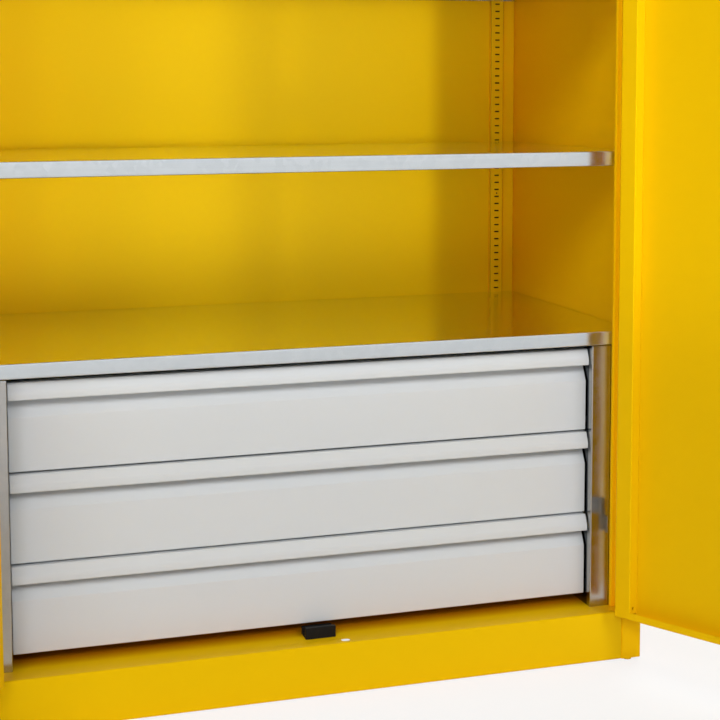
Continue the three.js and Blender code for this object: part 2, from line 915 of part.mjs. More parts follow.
function addPair(name, geometry, material) {
  add(`${name}_left`, mirrored(geometry), material);
  add(`${name}_right`, geometry, material);
}

// Turns a piece of the right door from shut to the open rest position.
function opened(geometry) {
  const copy = geometry.clone();
  copy.translate(-pivotX, -pivotY, 0);
  copy.rotateZ(THREE.MathUtils.degToRad(doorAngleDegrees));
  copy.translate(pivotX, pivotY, 0);
  return copy;
}

addPair('side_wall', sideWall(), yellowPaint);
add('back_panel', backPanel(), yellowPaint);
add('roof', roof(), yellowPaint);
add('bottom_pan', bottomPan(), yellowPaint);
add('door_stop', doorStop(), blackPlastic);
addPair('front_glide', glide(frontGlide), yellowPaint);
addPair('rear_glide', glide(rearGlide), yellowPaint);
addPair('rear_slotted_strip', rearStrip(), yellowPaint);
addPair('front_slotted_strip', frontStrip(), yellowPaint);

add('drawer_cover_shelf', shelf(coverTop, coverFold), galvanised);
for (let level = 1; level <= looseShelfCount; level += 1) {
  const top = coverTop + level * shelfSpacing;
  add(`shelf_${level}`, shelf(top, shelfFold), galvanised);
  addPair(`shelf_${level}_bearer`, bearer(top), galvanised);
}

addPair('drawer_cheek', cheek(), galvanised);
for (let level = 1; level <= drawerCount; level += 1) {
  const bottom = lowestDrawer + (level - 1) * drawerPitch;
  addPair(`drawer_${level}_runner`, runner(bottom), zincSteel);
  add(`drawer_${level}_front`, drawerFront(bottom), greyPaint);
  add(`drawer_${level}_box`, drawerBox(bottom), galvanised);
}

hingeHeights.forEach((middle, index) => {
  addPair(`frame_hinge_${index + 1}`, frameHinge(middle), zincSteel);
  addPair(`door_hinge_${index + 1}`, opened(doorHinge(middle)), zincSteel);
});

add('door_left', mirrored(opened(doorLeaf([]))), yellowPaint);
add('door_right', opened(doorLeaf(lockHolesInDoor())), yellowPaint);
add('meeting_strip', mirrored(opened(meetingStrip())), yellowPaint);
add('lock_plate', opened(lockPlate()), blackPlastic);
add('lock_handle', opened(lockHandle()), chrome);
add('lock_cylinder', opened(lockCylinder()), chrome);
add('lock_cam', opened(lockCam()), zincSteel);
add('lock_rod_upper', opened(lockRod(1, upperRodX, doorTop - rodEndInset)), zincSteel);
add('lock_rod_lower', opened(lockRod(-1, rodX, doorBottom + rodEndInset)), zincSteel);

const middle = new THREE.Box3().setFromObject(cabinet).getCenter(new THREE.Vector3());
cabinet.children.forEach((mesh) => mesh.geometry.translate(-middle.x, -middle.y, 0));

export default cabinet;
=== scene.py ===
# %% [markdown]
# # Heavy-duty drawer cabinet
#
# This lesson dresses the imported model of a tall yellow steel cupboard. Its two doors stand open, bright
# galvanised shelves hang above three light grey drawers, and a black stop sits on the bottom plate. Most
# of the cupboard is bent sheet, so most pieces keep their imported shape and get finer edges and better
# finishes. The drawer fronts are drawn again, because their rounded grips catch the eye first.

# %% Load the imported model
import json
import math

import bmesh
import bpy
from mathutils import Matrix, Vector


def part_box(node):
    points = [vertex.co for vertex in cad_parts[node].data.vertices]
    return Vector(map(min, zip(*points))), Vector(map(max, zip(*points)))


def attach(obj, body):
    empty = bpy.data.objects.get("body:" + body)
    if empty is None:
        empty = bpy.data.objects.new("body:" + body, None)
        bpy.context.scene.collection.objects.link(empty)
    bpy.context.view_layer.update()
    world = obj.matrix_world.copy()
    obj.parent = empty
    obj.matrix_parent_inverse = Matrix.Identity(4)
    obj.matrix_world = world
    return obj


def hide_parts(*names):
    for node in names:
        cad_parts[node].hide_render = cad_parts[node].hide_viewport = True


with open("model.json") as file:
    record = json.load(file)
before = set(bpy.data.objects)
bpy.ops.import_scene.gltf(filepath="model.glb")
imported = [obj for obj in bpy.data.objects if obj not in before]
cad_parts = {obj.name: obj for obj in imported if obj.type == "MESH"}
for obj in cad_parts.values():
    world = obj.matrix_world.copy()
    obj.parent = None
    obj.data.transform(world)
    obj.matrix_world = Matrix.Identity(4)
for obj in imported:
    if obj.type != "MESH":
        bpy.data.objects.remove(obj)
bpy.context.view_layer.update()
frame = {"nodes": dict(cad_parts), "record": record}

nodes = frame["nodes"]
slot_of = {part["node"]: part["material_slot"] for part in frame["record"]["subparts"]}

# %% [markdown]
# ## Measures
#
# Everything is in metres. Heights of a drawer front count up from its bottom, and its depths count back
# from the front of its grip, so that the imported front's own box places the new one.

# %% Name the measures
MM = 0.001
DRAWER_COUNT = 3
FRONT_SHEET = 1.2 * MM
FRONT_FLAT = 11.7 * MM
FRONT_RECESS = 26.2 * MM
FRONT_TURN_UP = 22 * MM
FRONT_FLAT_TOP = 89.7 * MM
FRONT_SLANT_TOP = 119 * MM
GRIP_BOTTOM = 120.3 * MM
GRIP_BEND = 131.4 * MM
GRIP_LEAN = math.radians(22)
GRIP_LIP = 5.5 * MM
GRIP_TOP_RADIUS = 2.5 * MM
GRIP_BEND_RADIUS = 18 * MM
GRIP_REAR_RADIUS = 5 * MM
SLANT_RADIUS = 3 * MM
FOLD_RADIUS = 1.5 * MM
FOLD_STEPS = 10
CUT_EDGE = 0.3 * MM
SHEET_EDGE = 0.35 * MM
HINGE_EDGE = 0.08 * MM
ROUNDED_EDGES = {
    "door_stop": 1.2 * MM,
    "lock_handle": 2.2 * MM,
    "lock_plate": 1.4 * MM,
    "lock_cylinder": 0.4 * MM,
}
ROUND_STEPS = 3
EDGE_STEPS = 2
SHARP_ANGLE = math.radians(50)
WELD_DISTANCE = 0.002 * MM
print("measures for", DRAWER_COUNT, "drawer fronts and", len(ROUNDED_EDGES), "rounded pieces")

# %% [markdown]
# ## Small helpers for node trees
#
# A material is a chain of nodes. These helpers make a node, set its sockets by name, and join sockets in
# one line each, so that a material below reads as a recipe. Most noise lies between 0.3 and 0.7, so a
# helper spreads that range over the values that a finish needs.

# %% Helpers for node trees
NOISE_RANGE = (0.3, 0.7)
SMOOTH_DETAIL, FINE_DETAIL, CLOUD_DETAIL = 1.0, 2.0, 3.0


def add_node(tree, kind, settings=None, **sockets):
    node = tree.nodes.new(kind)
    for name, value in (settings or {}).items():
        setattr(node, name, value)
    for name, value in sockets.items():
        target = node.inputs[name.replace("_", " ")]
        if isinstance(value, bpy.types.NodeSocket):
            tree.links.new(value, target)
        else:
            target.default_value = value
    return node


def math_node(tree, operation, *values):
    node = add_node(tree, "ShaderNodeMath", {"operation": operation})
    for socket, value in zip(node.inputs, values):
        if isinstance(value, bpy.types.NodeSocket):
            tree.links.new(value, socket)
        else:
            socket.default_value = value
    return node.outputs[0]


def spread(tree, value, goal, source=NOISE_RANGE):
    node = add_node(tree, "ShaderNodeMapRange", Value=value)
    node.inputs["From Min"].default_value, node.inputs["From Max"].default_value = source
    node.inputs["To Min"].default_value, node.inputs["To Max"].default_value = goal
    return node.outputs["Result"]


def mixed(tree, factor, first, second):
    node = add_node(tree, "ShaderNodeMix", {"data_type": "RGBA"})
    tree.links.new(factor, node.inputs[0])
    for socket, colour in zip(node.inputs[6:8], (first, second)):
        if isinstance(colour, bpy.types.NodeSocket):
            tree.links.new(colour, socket)
        else:
            socket.default_value = (*colour, 1)
    return node.outputs[2]


def stretched(tree, place, stretch):
    node = add_node(tree, "ShaderNodeMapping", Vector=place)
    node.inputs["Scale"].default_value = stretch
    return node.outputs["Vector"]


def noise(tree, place, scale, detail=FINE_DETAIL):
    node = add_node(tree, "ShaderNodeTexNoise", Vector=place, Scale=scale, Detail=detail)
    return node.outputs["Fac"]


def new_group(name, outputs):
    tree = bpy.data.node_groups.new(name, "ShaderNodeTree")
    tree.interface.new_socket(name="Place", in_out="INPUT", socket_type="NodeSocketVector")
    for output in outputs:
        tree.interface.new_socket(name=output, in_out="OUTPUT", socket_type="NodeSocketFloat")
    place = tree.nodes.new("NodeGroupInput").outputs["Place"]
    return tree, place, tree.nodes.new("NodeGroupOutput")


print("helpers ready")

# %% [markdown]
# ## Shared effects
#
# Powder paint melts into a skin with a faint orange peel: a wave a few millimetres long with finer grain
# on it. The whole coat also varies very slowly in tone. Both come from one group, which every painted
# piece uses.

# %% Effect: powder coat
PEEL_WAVES_PER_METRE = 320
GRAINS_PER_METRE = 1500
GRAIN_SHARE = 0.35
TONES_PER_METRE = 2.6


def powder_effect():
    tree, place, result = new_group("powder_coat_effect", ["Relief", "Tone", "Grain"])
    wave = noise(tree, place, PEEL_WAVES_PER_METRE, SMOOTH_DETAIL)
    grain = noise(tree, place, GRAINS_PER_METRE)
    relief = math_node(tree, "MULTIPLY_ADD", grain, GRAIN_SHARE, wave)
    tree.links.new(relief, result.inputs["Relief"])
    tree.links.new(noise(tree, place, TONES_PER_METRE, CLOUD_DETAIL), result.inputs["Tone"])
    tree.links.new(grain, result.inputs["Grain"])
    return tree


POWDER = powder_effect()
print(POWDER.name, [item.name for item in POWDER.interface.items_tree])

# %% [markdown]
# Galvanised sheet shows faint crystals in the zinc and fine lines from the rolls. The crystals are cells
# about a centimetre wide. The lines run along the sheet, so their group is given a place that is already
# stretched.

# %% Effect: galvanised sheet
CRYSTALS_PER_METRE = 85
CLOUDS_PER_METRE = 5
BROAD_LINES_PER_METRE = 60
FINE_LINES_PER_METRE = 260


def zinc_effect():
    tree, place, result = new_group("zinc_sheet_effect", ["Crystal", "Cloud"])
    cells = add_node(tree, "ShaderNodeTexVoronoi", Vector=place, Scale=CRYSTALS_PER_METRE, Randomness=1.0)
    tone = add_node(tree, "ShaderNodeSeparateColor", Color=cells.outputs["Color"])
    tree.links.new(tone.outputs[0], result.inputs["Crystal"])
    tree.links.new(noise(tree, place, CLOUDS_PER_METRE, CLOUD_DETAIL), result.inputs["Cloud"])
    return tree


def rolled_effect():
    tree, place, result = new_group("rolled_lines_effect", ["Lines"])
    broad = noise(tree, place, BROAD_LINES_PER_METRE)
    fine = noise(tree, place, FINE_LINES_PER_METRE)
    both = math_node(tree, "ADD", broad, fine)
    tree.links.new(math_node(tree, "DIVIDE", both, 2), result.inputs["Lines"])
    return tree


ZINC = zinc_effect()
ROLLED = rolled_effect()
print(ZINC.name, ROLLED.name)

# %% [markdown]
# ## Materials
#
# Each material starts from the same base: a Principled shader, the place on the object, and a bump. The
# sockets that are the same all over the surface are set on the shader itself.

# %% Base of every material
def new_material(name, **sockets):
    material = bpy.data.materials.new(name)
    material.use_nodes = True
    tree = material.node_tree
    shader = tree.nodes["Principled BSDF"]
    for socket, value in sockets.items():
        shader.inputs[socket.replace("_", " ")].default_value = value
    place = tree.nodes.new("ShaderNodeTexCoord").outputs["Object"]
    return material, tree, shader, place


def effect(tree, group, place):
    node = add_node(tree, "ShaderNodeGroup", {"node_tree": group})
    tree.links.new(place, node.inputs["Place"])
    return node.outputs


def recolour(material, mask, colour):
    tree = material.node_tree
    socket = tree.nodes["Principled BSDF"].inputs["Base Color"]
    tree.links.new(mixed(tree, mask, socket.links[0].from_socket, colour), socket)


def add_bump(tree, shader, height, depth):
    bump = add_node(tree, "ShaderNodeBump", Height=height, Distance=depth, Strength=1.0)
    tree.links.new(bump.outputs["Normal"], shader.inputs["Normal"])


print("base ready")

# %% [markdown]
# All the outer sheet has one yellow powder paint on the real cupboard, and the drawer fronts have a light
# grey one. Light that has bounced off yellow paint comes back deeper and more orange than the paint looks
# by itself, as the inside of the real cupboard shows. So the walls, the pan, the roof and the back panel
# hand on a deeper colour to bounced light, which the Light Path node picks out. The doors stand in the
# open and keep the plain paint.
#
# A few lamps can't light every corner as a whole room does. The four yellows make up for that: they are
# the same paint, written about a tenth lighter on the walls, half as much on the back panel, and a little
# darker on the pan.

# %% Yellow and grey powder coat
PEEL_DEPTH = 0.02 * MM
YELLOW_ROUGHNESS = (0.39, 0.46)
YELLOW_SHINE = 0.25
GREY_ROUGHNESS = (0.43, 0.50)
GREY_SHINE = 0.3
WHITE = (1.0, 1.0, 1.0)


def powder_paint(name, colours, roughness, shine, tint):
    material, tree, shader, place = new_material(name, Specular_IOR_Level=shine, Specular_Tint=(*tint, 1))
    coat = effect(tree, POWDER, place)
    light, dark = colours
    tree.links.new(mixed(tree, coat["Tone"], dark, light), shader.inputs["Base Color"])
    tree.links.new(spread(tree, coat["Grain"], roughness), shader.inputs["Roughness"])
    add_bump(tree, shader, coat["Relief"], PEEL_DEPTH)
    return material


def yellow_paint(name, colours, tint):
    return powder_paint(name, colours, YELLOW_ROUGHNESS, YELLOW_SHINE, tint)


def hand_on(material, colour):
    tree = material.node_tree
    bounced = tree.nodes.new("ShaderNodeLightPath").outputs["Is Diffuse Ray"]
    recolour(material, bounced, colour)


DOOR_YELLOW = ((0.87, 0.555, 0.002), (0.85, 0.535, 0.002))
WALL_YELLOW = ((0.98, 0.60, 0.002), (0.96, 0.58, 0.002))
BACK_YELLOW = ((0.92, 0.60, 0.002), (0.90, 0.58, 0.002))
PAN_YELLOW = ((0.85, 0.55, 0.002), (0.83, 0.53, 0.002))
YELLOW_HANDED_ON = (1.0, 0.41, 0.001)
YELLOW_GLOSS = (1.0, 0.74, 0.04)
WALL_GLOSS = (1.0, 0.55, 0.01)
BACK_GLOSS = (1.0, 0.82, 0.6)
DRAWER_GREY = ((0.645, 0.68, 0.712), (0.625, 0.66, 0.692))
yellow = yellow_paint("yellow_powder_coat", DOOR_YELLOW, YELLOW_GLOSS)
yellow_inside = yellow_paint("yellow_powder_coat_inside", WALL_YELLOW, WALL_GLOSS)
hand_on(yellow_inside, YELLOW_HANDED_ON)
grey = powder_paint("grey_powder_coat", DRAWER_GREY, GREY_ROUGHNESS, GREY_SHINE, WHITE)
print(yellow.name, yellow_inside.name, grey.name)

# %% [markdown]
# The rear strips are narrow closed channels. Little light gets into them, so seen through its slots a
# strip is dark brown inside, a shade painted into the colour. The mask is a box in the piece's own
# coordinates: wide as the channel, and deep from the back of the slotted sheet to the back panel. The
# strips and the back panel share this material.

# %% Painted shade inside the rear strips
STRIP_SHEET = 1.2 * MM
# Painted shade: dark brown for the shade seen through the strips' slots.
STRIP_PAINTED_SHADE = (0.06, 0.02, 0.002)


def place_along(tree):
    place = tree.nodes.new("ShaderNodeTexCoord").outputs["Object"]
    return add_node(tree, "ShaderNodeSeparateXYZ", Vector=place).outputs


def paint_shade_inside_strips(material):
    tree = material.node_tree
    x, y, _ = place_along(tree)
    low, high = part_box("rear_slotted_strip_right")
    other_low, other_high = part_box("rear_slotted_strip_left")
    reach = (high.x - low.x) / 2 - STRIP_SHEET / 2
    front, rear = low.y + STRIP_SHEET / 3, high.y + STRIP_SHEET / 2
    right = math_node(tree, "COMPARE", x, (low.x + high.x) / 2, reach)
    left = math_node(tree, "COMPARE", x, (other_low.x + other_high.x) / 2, reach)
    across = math_node(tree, "MAXIMUM", right, left)
    along = math_node(tree, "COMPARE", y, (front + rear) / 2, (rear - front) / 2)
    # Painted shade inside the channels, seen through the slots.
    recolour(material, math_node(tree, "MULTIPLY", across, along), STRIP_PAINTED_SHADE)


yellow_round_strips = yellow_paint("yellow_powder_coat_round_strips", BACK_YELLOW, BACK_GLOSS)
hand_on(yellow_round_strips, YELLOW_HANDED_ON)
paint_shade_inside_strips(yellow_round_strips)
print(yellow_round_strips.name)

# %% [markdown]
# The bottom pan runs on under the drawers. There it gets only light that has bounced several times
# between yellow sheets, and the photograph shows it orange and brown. A mask that grows from the drawers'
# face towards the rear gives the paint that deeper shade, which is simpler than more and more bounces.

# %% Deeper shade of the pan under the drawers
SHADE_START = -14 * MM
SHADE_END = 18 * MM
PAN_SHADE = (0.52, 0.19, 0.001)


def shade_under_drawers(material):
    tree = material.node_tree
    _, y, _ = place_along(tree)
    low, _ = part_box("drawer_1_front")
    face = low.y + FRONT_FLAT
    growing = spread(tree, y, (0, 1), (face + SHADE_START, face + SHADE_END))
    recolour(material, growing, PAN_SHADE)


yellow_pan = yellow_paint("yellow_powder_coat_pan", PAN_YELLOW, YELLOW_GLOSS)
hand_on(yellow_pan, YELLOW_HANDED_ON)
shade_under_drawers(yellow_pan)
print(yellow_pan.name)

# %% [markdown]
# The shelves and the cheeks are bright galvanised sheet, which mirrors its surroundings softly, so the
# shelf's top looks yellow. A metal shader gives that by itself. Faint crystals, clouds and roll lines
# vary its colour and its roughness together. The lines run along each sheet. Faces that point up get a
# lighter colour, a painted reflection that brightens the shelves' tops.

# %% Galvanised sheet
ZINC_COAT = {"Coat_Weight": 0.5, "Coat_Roughness": 0.12}
ZINC_ROUGHNESS = (0.16, 0.24)
CRYSTAL_SHARE = 0.35
CLOUD_SHARE = 0.5
TONE_RANGE = (0.7, 1.2)
LINE_DEPTH = 0.004 * MM
LINES_ALONG_X = (0.03, 1, 1)
LINES_ALONG_Z = (1, 1, 0.03)
NEARLY_UP = 0.9
SHELF_ZINC = ((0.60, 0.64, 0.665), (0.655, 0.695, 0.72))
# The cheeks' zinc is written darker than the shelves': painted shade for the shaded pieces that they
# mirror.
SHADED_CHEEK_ZINC = ((0.44, 0.43, 0.41), (0.49, 0.48, 0.46))
# Painted reflection: the lighter colour of faces that point up.
ZINC_TOP_PAINTED_LIGHT = (0.82, 0.85, 0.86)


def galvanised_sheet(name, stretch, colours):
    material, tree, shader, place = new_material(name, Metallic=1.0, **ZINC_COAT)
    zinc = effect(tree, ZINC, place)
    lines = effect(tree, ROLLED, stretched(tree, place, stretch))["Lines"]
    tone = math_node(tree, "ADD", math_node(tree, "MULTIPLY", zinc["Crystal"], CRYSTAL_SHARE), lines)
    tone = math_node(tree, "ADD", tone, math_node(tree, "MULTIPLY", zinc["Cloud"], CLOUD_SHARE))
    colour = mixed(tree, spread(tree, tone, (0, 1), TONE_RANGE), *colours)
    tree.links.new(colour, shader.inputs["Base Color"])
    tree.links.new(spread(tree, tone, ZINC_ROUGHNESS, TONE_RANGE), shader.inputs["Roughness"])
    add_bump(tree, shader, lines, LINE_DEPTH)
    return material


def paint_light_on_tops(material, colour):
    tree = material.node_tree
    normal = tree.nodes.new("ShaderNodeNewGeometry").outputs["Normal"]
    upward = add_node(tree, "ShaderNodeSeparateXYZ", Vector=normal).outputs["Z"]
    # Faces that point up get the lighter colour: a painted reflection.
    recolour(material, math_node(tree, "GREATER_THAN", upward, NEARLY_UP), colour)


galvanised = galvanised_sheet("galvanised_sheet_long", LINES_ALONG_X, SHELF_ZINC)
paint_light_on_tops(galvanised, ZINC_TOP_PAINTED_LIGHT)
galvanised_upright = galvanised_sheet("galvanised_sheet_upright", LINES_ALONG_Z, SHADED_CHEEK_ZINC)
print(galvanised.name, galvanised_upright.name)

# %% [markdown]
# Each cheek stands close beside the drawers. In the photograph the gap between them is a dark line,
# because hardly any light reaches the cheek's web there. A mask darkens the first few centimetres of the
# web, behind the bright fold of the cheek's face, as painted shade.

# %% Painted shade on the first part of the cheeks' webs
WEB_REACH = 0.4 * MM
WEB_START = 12 * MM
WEB_FADE_START = 25 * MM
WEB_FADE_END = 60 * MM
# Painted shade: the dark colour of the web beside the drawers.
WEB_PAINTED_SHADE = (0.05, 0.06, 0.07)


def shade_webs_painted(material):
    tree = material.node_tree
    x, y, _ = place_along(tree)
    low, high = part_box("drawer_cheek_right")
    other_low, other_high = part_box("drawer_cheek_left")
    right = math_node(tree, "COMPARE", x, low.x, WEB_REACH)
    left = math_node(tree, "COMPARE", x, other_high.x, WEB_REACH)
    web = math_node(tree, "MAXIMUM", right, left)
    behind_fold = math_node(tree, "GREATER_THAN", y, low.y + WEB_START)
    fading = spread(tree, y, (1, 0), (low.y + WEB_FADE_START, low.y + WEB_FADE_END))
    # Darken the web's front part: painted shade.
    painted_shade = math_node(tree, "MULTIPLY", math_node(tree, "MULTIPLY", web, behind_fold), fading)
    recolour(material, painted_shade, WEB_PAINTED_SHADE)


shade_webs_painted(galvanised_upright)
print("webs dulled")

# %% [markdown]
# The smaller parts have three more finishes. The door stop and the lock plate are moulded in black
# plastic with a fine grain. Runners, hinges and lock rods are zinc plated, a dull grey metal with faint
# clouds. The handle and its cylinder are chromed, smooth but for fine lines that fingers rub in. Three
# short recipes are enough for them.

# %% Black plastic, zinc-plated steel and chrome
BLACKS = ((0.010, 0.0095, 0.0095), (0.016, 0.015, 0.014))
BLACK_ROUGHNESS = (0.42, 0.55)
BLACK_SHINE = 0.08
BLACK_CLOUDS, BLACK_GRAINS, BLACK_RELIEF = 40, 1800, 0.015 * MM
ZINC_GREYS = ((0.44, 0.46, 0.47), (0.56, 0.57, 0.58))
PLATED_ROUGHNESS = (0.26, 0.4)
PLATED_CLOUDS, PLATED_GRAINS, PLATED_RELIEF = 90, 1200, 0.004 * MM
CHROME_GREYS = ((0.62, 0.63, 0.64), (0.7, 0.71, 0.72))
CHROME_ROUGHNESS = (0.07, 0.15)
CHROME_CLOUDS, CHROME_RUBS, CHROME_RELIEF = 60, 900, 0.001 * MM
RUBBED_ALONG_Z = (1, 1, 0.05)


def cloudy(tree, shader, cloud, colours, fine, roughness, relief):
    tree.links.new(mixed(tree, cloud, *colours), shader.inputs["Base Color"])
    tree.links.new(spread(tree, fine, roughness), shader.inputs["Roughness"])
    add_bump(tree, shader, fine, relief)


def black_moulding():
    material, tree, shader, place = new_material("black_moulded_plastic", Specular_IOR_Level=BLACK_SHINE)
    grain = noise(tree, place, BLACK_GRAINS)
    cloud = noise(tree, place, BLACK_CLOUDS)
    cloudy(tree, shader, cloud, BLACKS, grain, BLACK_ROUGHNESS, BLACK_RELIEF)
    return material


def zinc_plated():
    material, tree, shader, place = new_material("zinc_plated_steel", Metallic=1.0)
    cloud = noise(tree, place, PLATED_CLOUDS, CLOUD_DETAIL)
    fine = noise(tree, place, PLATED_GRAINS)
    cloudy(tree, shader, cloud, ZINC_GREYS, fine, PLATED_ROUGHNESS, PLATED_RELIEF)
    return material


def chrome_plated():
    material, tree, shader, place = new_material("chrome_plated_metal", Metallic=1.0)
    cloud = noise(tree, place, CHROME_CLOUDS)
    rubbed = noise(tree, stretched(tree, place, RUBBED_ALONG_Z), CHROME_RUBS)
    cloudy(tree, shader, cloud, CHROME_GREYS, rubbed, CHROME_ROUGHNESS, CHROME_RELIEF)
    return material


finishes = {
    "yellow_paint": yellow,
    "grey_paint": grey,
    "galvanised_steel": galvanised,
    "black_plastic": black_moulding(),
    "zinc_steel": zinc_plated(),
    "chrome": chrome_plated(),
}
print(len(finishes), "finishes")

# %% [markdown]
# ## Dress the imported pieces
#
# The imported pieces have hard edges. Cut steel and moulded plastic don't, so each piece is welded, gets a
# tiny round on its sharp edges, and is shaded smooth across its folds. The halves of a hinge pass each
# other closely, so their edges stay finer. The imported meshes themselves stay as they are, because all of
# this is in modifiers.

# %% Group that welds a piece and shades it smooth
def welded_and_smooth():
    tree = bpy.data.node_groups.new("welded_and_smooth", "GeometryNodeTree")
    tree.interface.new_socket(name="Geometry", in_out="INPUT", socket_type="NodeSocketGeometry")
    tree.interface.new_socket(name="Geometry", in_out="OUTPUT", socket_type="NodeSocketGeometry")
    start = tree.nodes.new("NodeGroupInput")
    weld = add_node(tree, "GeometryNodeMergeByDistance", Distance=WELD_DISTANCE, Geometry=start.outputs[0])
    bare = add_node(tree, "GeometryNodeRemoveAttribute", Name="custom_normal", Geometry=weld.outputs[0])
    smooth = add_node(tree, "GeometryNodeSetShadeSmooth", Shade_Smooth=True, Geometry=bare.outputs[0])
    tree.links.new(smooth.outputs[0], tree.nodes.new("NodeGroupOutput").inputs[0])
    return tree


SMOOTH = welded_and_smooth()
print(SMOOTH.name)

# %% [markdown]
# Cut sheet has edges about a third of a millimetre round, and moulded or cast parts have rounder ones. A
# Bevel modifier does all of them from one width. Then every piece gets the finish of its slot. The walls,
# the pan, the cheeks and the rear strips have their own recipes, made above.

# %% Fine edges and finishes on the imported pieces
def fine_bevel(piece, width, steps):
    bevel = piece.modifiers.new("edges", "BEVEL")
    bevel.width = width
    bevel.segments = steps
    bevel.limit_method = "ANGLE"
    bevel.angle_limit = SHARP_ANGLE
    bevel.use_clamp_overlap = False
    piece.modifiers.new("shading", "WEIGHTED_NORMAL")


def refine_edges(piece, width, steps):
    piece.modifiers.new("weld", "NODES").node_group = SMOOTH
    fine_bevel(piece, width, steps)


INSIDE_PIECES = ("side_wall_left", "side_wall_right", "roof")


def finish_of(name):
    if name in INSIDE_PIECES:
        return yellow_inside
    if name == "bottom_pan":
        return yellow_pan
    if name.startswith("drawer_cheek"):
        return galvanised_upright
    if name == "back_panel" or name.startswith("rear_slotted_strip"):
        return yellow_round_strips
    return finishes[slot_of[name]]


def edge_of(name):
    return HINGE_EDGE if "hinge" in name else SHEET_EDGE


for name, node in nodes.items():
    node.material_slots[0].material = finish_of(name)
    if name in ROUNDED_EDGES:
        refine_edges(node, ROUNDED_EDGES[name], ROUND_STEPS)
    else:
        refine_edges(node, edge_of(name), EDGE_STEPS)
print("dressed", len(nodes), "packed pieces")

# %% [markdown]
# ## Drawer fronts
#
# A drawer front is one bent sheet. It could be cut from a block, but a bent sheet is easier to make as
# the folding machine does: a line with corners is swept along the drawer, each corner is rounded into a
# fold of its own radius, and the surface gets its thickness last. A short trial shows what one fold
# makes.

# %% Sweep a line with corners along X
def swept_line(corners, from_x, to_x):
    mesh = bmesh.new()
    line = [mesh.verts.new((from_x, y, z)) for y, z in corners]
    edges = [mesh.edges.new(pair) for pair in zip(line, line[1:])]
    swept = bmesh.ops.extrude_edge_only(mesh, edges=edges)["geom"]
    moved = [item for item in swept if isinstance(item, bmesh.types.BMVert)]
    bmesh.ops.translate(mesh, verts=moved, vec=(to_x - from_x, 0, 0))
    bmesh.ops.recalc_face_normals(mesh, faces=mesh.faces)
    return mesh


def fold_at(mesh, corner, radius):
    def on_corner(edge):
        return all((Vector(vertex.co.yz) - corner).length < WELD_DISTANCE for vertex in edge.verts)

    fold = next(edge for edge in mesh.edges if on_corner(edge))
    reach = radius * math.tan(fold.calc_face_angle() / 2)
    bmesh.ops.bevel(
        mesh, geom=[fold], offset=reach, segments=FOLD_STEPS, profile=0.5, affect="EDGES", material=-1,
    )


TRIAL_RADIUS = 0.2
trial = swept_line([(0, 0), (1, 0), (1, 1)], 0, 1)
fold_at(trial, Vector((1, 0)), TRIAL_RADIUS)
print("a swept corner has", len(trial.faces), "faces")
trial.free()

# %% [markdown]
# From its bottom edge a front goes up as a flat, slants back to make room for the fingers, and folds
# forward over the top into a grip, whose upper half leans back. The line runs through the middle of the
# sheet, so each face lies half a sheet away from it. It starts behind the flat, where the sheet is turned
# up, and ends at the grip's lip. Its points could be drawn by hand, but worked out from the measures they
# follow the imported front.

# %% Line of a drawer front
def front_corners(front, bottom, top):
    half = FRONT_SHEET / 2
    flat = front + FRONT_FLAT + half
    recess = front + FRONT_RECESS + half
    grip = front + half
    grip_roof = top - half
    bend = bottom + GRIP_BEND
    lip = bottom + GRIP_BOTTOM + half
    return [
        (recess, bottom + FRONT_TURN_UP),
        (recess, bottom + half),
        (flat, bottom + half),
        (flat, bottom + FRONT_FLAT_TOP),
        (recess, bottom + FRONT_SLANT_TOP),
        (recess, grip_roof),
        (grip + (grip_roof - bend) * math.tan(GRIP_LEAN), grip_roof),
        (grip, bend),
        (grip, lip),
        (grip + GRIP_LIP, lip),
    ]


GRIP_RADII = [GRIP_REAR_RADIUS, GRIP_TOP_RADIUS, GRIP_BEND_RADIUS, FOLD_RADIUS]
FRONT_RADII = [FOLD_RADIUS, FOLD_RADIUS, SLANT_RADIUS, SLANT_RADIUS, *GRIP_RADII]
print(len(FRONT_RADII), "folds in a drawer front")

# %% [markdown]
# The sheet is 1.2 mm thick. A Solidify modifier adds that evenly on both sides, also round the folds, and
# a tiny bevel takes the sharpness off the cut edges. Offsetting the points by hand would give the same
# shape with more work.

# %% Sheet with thickness and fine cut edges
def sheet_piece(name, mesh, thickness):
    for face in mesh.faces:
        face.smooth = True
    data = bpy.data.meshes.new(name)
    mesh.to_mesh(data)
    mesh.free()
    piece = bpy.data.objects.new(name, data)
    bpy.context.scene.collection.objects.link(piece)
    solid = piece.modifiers.new("thickness", "SOLIDIFY")
    solid.thickness = thickness
    solid.offset = 0
    solid.use_even_offset = True
    fine_bevel(piece, CUT_EDGE, EDGE_STEPS)
    return piece


print("sheet maker ready")

# %% [markdown]
# The three drawers are the same, so one loop makes their fronts. Each one takes its place from its packed
# front, rides the drawer that it belongs to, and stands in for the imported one.

# %% Draw the three fronts
for number in range(1, DRAWER_COUNT + 1):
    packed = f"drawer_{number}_front"
    low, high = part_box(packed)
    corners = front_corners(low.y, low.z, high.z)
    mesh = swept_line(corners, low.x, high.x)
    for corner, radius in zip(corners[1:-1], FRONT_RADII):
        fold_at(mesh, Vector(corner), radius)
    front = sheet_piece(f"drawer_{number}_smooth_front", mesh, FRONT_SHEET)
    front.data.materials.append(grey)
    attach(front, f"drawer_{number}")
    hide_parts(packed)
    print(front.name, len(front.data.vertices), "points")

# %% [markdown]
# ## Floor, light and camera
#
# The cupboard stands on a plain pale floor, as a seller photographs it. Near the cupboard the floor shows
# the soft shadows under the plinth and the doors. Farther out it fades into white, by a glow that only
# the camera sees.

# %% Floor
FLOOR_HALF = 16
FLOOR_CELLS = 8
FLOOR_PALES = ((0.93, 0.93, 0.93), (0.95, 0.95, 0.95))
FLOOR_SPECKLES = 14
FLOOR_GLOW = 0.8
FADE_START = 2.2
FADE_END = 5.0


